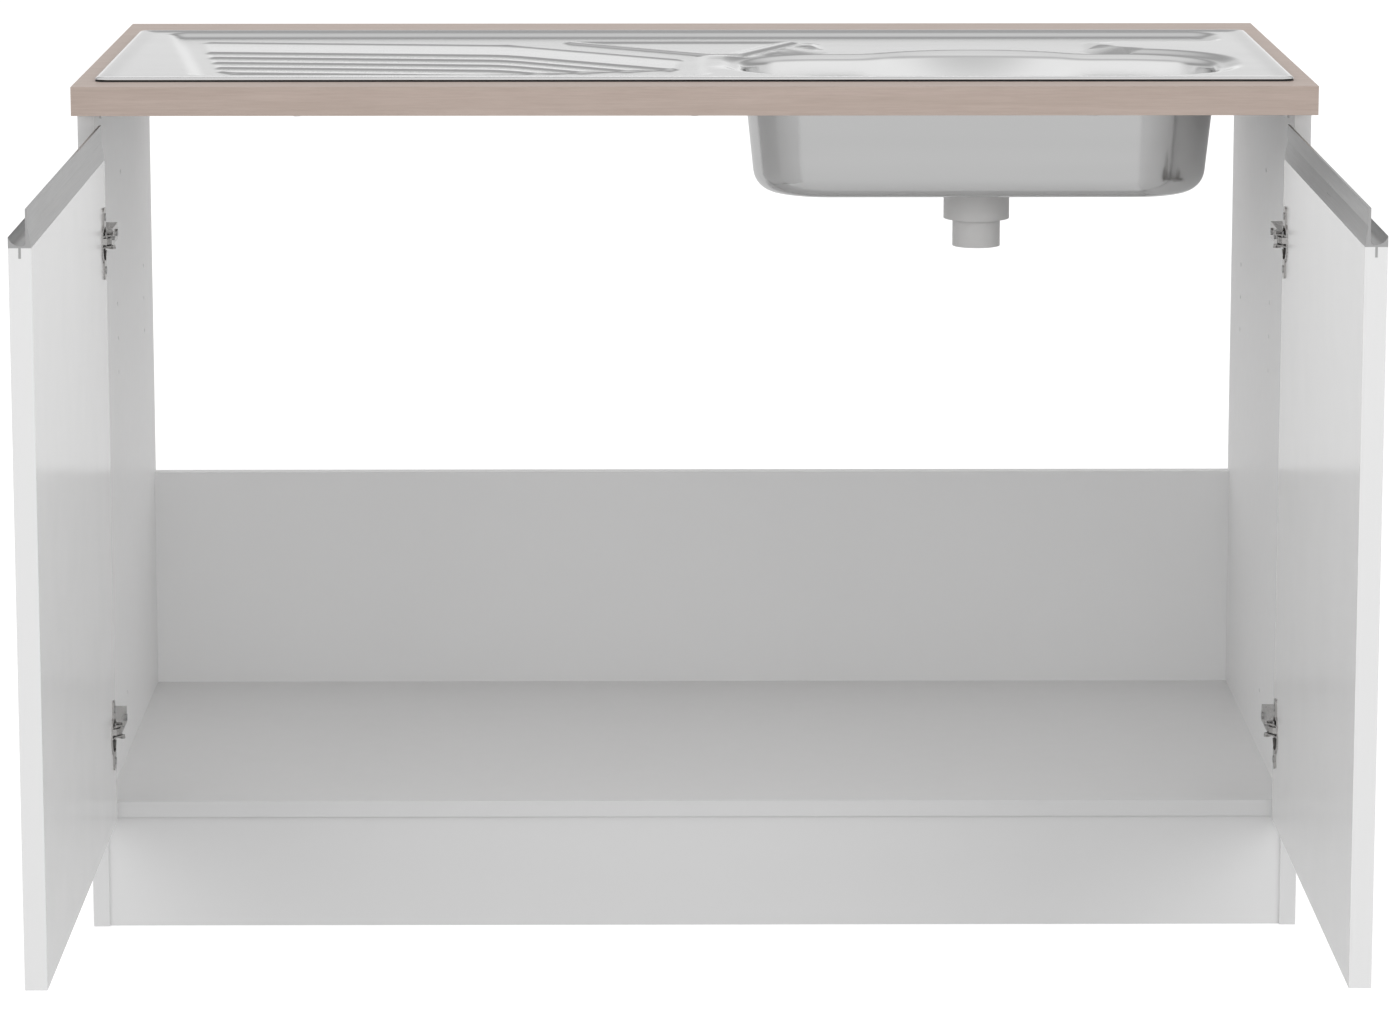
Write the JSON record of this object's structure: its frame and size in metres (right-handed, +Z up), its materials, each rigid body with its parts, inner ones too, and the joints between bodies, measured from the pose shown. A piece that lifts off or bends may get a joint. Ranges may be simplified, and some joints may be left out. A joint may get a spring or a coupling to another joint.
{
  "type": "sink base cabinet",
  "caption": "Freestanding kitchen sink base cabinet with wood-grain worktop, inset steel sink and drainer, and double doors with metal grip profiles on concealed hinges.",
  "frame": {"origin": "on the floor at mid-width, in the plane of the plinth board's front face", "axes": "+X to the right of someone facing the doors, +Y to the back, +Z up; the doors stand open towards -Y"},
  "size_m": [1.2, 1.1465, 0.8522],
  "materials": {
    "white_board": "white melamine-faced board, fine satin",
    "white_edging": "white edge band, satin",
    "worktop_laminate": "light oak-grain laminate, matt",
    "worktop_edging": "light oak-grain edge band, matt",
    "beech_dowel": "raw beech",
    "zinc_fitting": "zinc plated",
    "zinc_plate": "zinc plated",
    "stainless_sink": "satin stainless steel",
    "polished_strainer": "polished stainless steel",
    "black_rubber": "soft black rubber",
    "waste_plastic": "moulded white plastic",
    "white_gloss_front": "high-gloss white front",
    "satin_aluminium": "satin anodised aluminium",
    "nickel_hinge": "nickel plated",
    "steel_pin": "bright steel",
    "hinge_screw": "nickel plated"
  },
  "bodies": {
    "cabinet": {"side_panel_left": "white_board", "side_panel_right": "white_board", "floor_panel": "white_board", "plinth_board": "white_board", "back_rail": "white_board", "carcass_edge_bands": "white_edging", "joint_dowels": "beech_dowel", "cam_bolts": "zinc_fitting", "cam_discs": "zinc_fitting", "worktop": "worktop_laminate", "worktop_edge_bands": "worktop_edging", "worktop_brackets": "zinc_plate", "bracket_screws": "zinc_fitting", "sink_deck": "stainless_sink", "sink_bowl": "stainless_sink", "sink_seal": "black_rubber", "sink_clips": "zinc_plate", "sink_clip_screws": "zinc_plate", "drain_strainer": "polished_strainer", "drain_gasket": "black_rubber", "drain_body": "waste_plastic", "drain_screw": "polished_strainer", "mounting_plates_left": "nickel_hinge", "plate_screws_left": "hinge_screw", "hinge_arms_left": "nickel_hinge", "arm_screws_left": "hinge_screw", "arm_pins_left": "steel_pin", "mounting_plates_right": "nickel_hinge", "plate_screws_right": "hinge_screw", "hinge_arms_right": "nickel_hinge", "arm_screws_right": "hinge_screw", "arm_pins_right": "steel_pin"},
    "left_outer_link_pair": {"outer_links_left": "nickel_hinge"},
    "left_inner_link_pair": {"inner_links_left": "nickel_hinge"},
    "left_door": {"door_panel_left": "white_gloss_front", "handle_profile_left": "satin_aluminium", "hinge_cups_left": "nickel_hinge", "cup_pins_left": "steel_pin", "cup_screws_left": "hinge_screw"},
    "right_outer_link_pair": {"outer_links_right": "nickel_hinge"},
    "right_inner_link_pair": {"inner_links_right": "nickel_hinge"},
    "right_door": {"door_panel_right": "white_gloss_front", "handle_profile_right": "satin_aluminium", "hinge_cups_right": "nickel_hinge", "cup_pins_right": "steel_pin", "cup_screws_right": "hinge_screw"}
  },
  "joints": [
    {"name": "left_link_turn", "type": "hinge", "parent": "cabinet", "child": "left_outer_link_pair", "pos_m": [-0.575, -0.001, 0.447], "axis": [0, 0, 1], "range_deg": [-49.78, 0]},
    {"name": "left_door_swing", "type": "hinge", "parent": "left_outer_link_pair", "child": "left_door", "pos_m": [-0.578, -0.01692, 0.447], "axis": [0, 0, 1], "range_deg": [0, 139.73]},
    {"name": "left_inner_turn", "type": "hinge", "parent": "cabinet", "child": "left_inner_link_pair", "pos_m": [-0.567, -0.007, 0.447], "axis": [0, 0, 1], "range_deg": [-45.83, 0]},
    {"name": "right_link_turn", "type": "hinge", "parent": "cabinet", "child": "right_outer_link_pair", "pos_m": [0.575, -0.001, 0.447], "axis": [0, 0, 1], "range_deg": [0, 49.78]},
    {"name": "right_door_swing", "type": "hinge", "parent": "right_outer_link_pair", "child": "right_door", "pos_m": [0.578, -0.01692, 0.447], "axis": [0, 0, 1], "range_deg": [-139.73, 0]},
    {"name": "right_inner_turn", "type": "hinge", "parent": "cabinet", "child": "right_inner_link_pair", "pos_m": [0.567, -0.007, 0.447], "axis": [0, 0, 1], "range_deg": [0, 45.83]}
  ],
  "couplings": [
    {"joint": "left_link_turn", "follows": "left_door_swing", "ratio": -0.35589},
    {"joint": "left_inner_turn", "follows": "left_door_swing", "ratio": -0.32765},
    {"joint": "right_link_turn", "follows": "right_door_swing", "ratio": -0.35589},
    {"joint": "right_inner_turn", "follows": "right_door_swing", "ratio": -0.32765}
  ]
}
